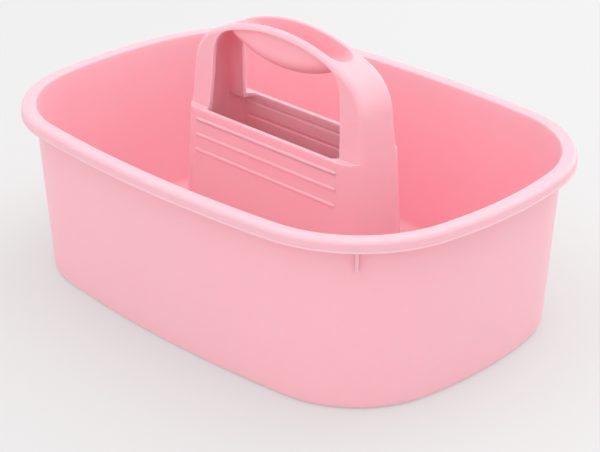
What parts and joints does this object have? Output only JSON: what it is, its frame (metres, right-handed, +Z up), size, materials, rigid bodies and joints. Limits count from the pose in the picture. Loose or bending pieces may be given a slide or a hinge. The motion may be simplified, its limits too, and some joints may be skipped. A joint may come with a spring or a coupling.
{
  "type": "shower caddy",
  "caption": "Open plastic tub with bulging sides, a rolled rim and a hollow central handle tower with an arched, scooped grip.",
  "frame": {"origin": "centre of the foot ring, on the surface that the caddy stands on", "axes": "+X along the grip and the long side, +Y to the back, +Z up"},
  "size_m": [0.36, 0.2544, 0.179],
  "materials": {
    "pink_polypropylene": "satin moulded polypropylene, pastel pink"
  },
  "bodies": {
    "root": {"back_panel_lines": "pink_polypropylene", "front_panel_lines": "pink_polypropylene", "grip": "pink_polypropylene", "grip_left_leg": "pink_polypropylene", "grip_right_leg": "pink_polypropylene", "rim_back": "pink_polypropylene", "rim_back_left": "pink_polypropylene", "rim_back_right": "pink_polypropylene", "rim_front": "pink_polypropylene", "rim_front_left": "pink_polypropylene", "rim_front_right": "pink_polypropylene", "rim_left": "pink_polypropylene", "rim_right": "pink_polypropylene", "stacking_ribs": "pink_polypropylene", "tower_back_panel": "pink_polypropylene", "tower_front_panel": "pink_polypropylene", "tower_left_end": "pink_polypropylene", "tower_right_end": "pink_polypropylene", "tub_back_left_corner": "pink_polypropylene", "tub_back_right_corner": "pink_polypropylene", "tub_back_wall": "pink_polypropylene", "tub_floor": "pink_polypropylene", "tub_front_left_corner": "pink_polypropylene", "tub_front_right_corner": "pink_polypropylene", "tub_front_wall": "pink_polypropylene", "tub_left_wall": "pink_polypropylene", "tub_right_wall": "pink_polypropylene"}
  },
  "joints": []
}
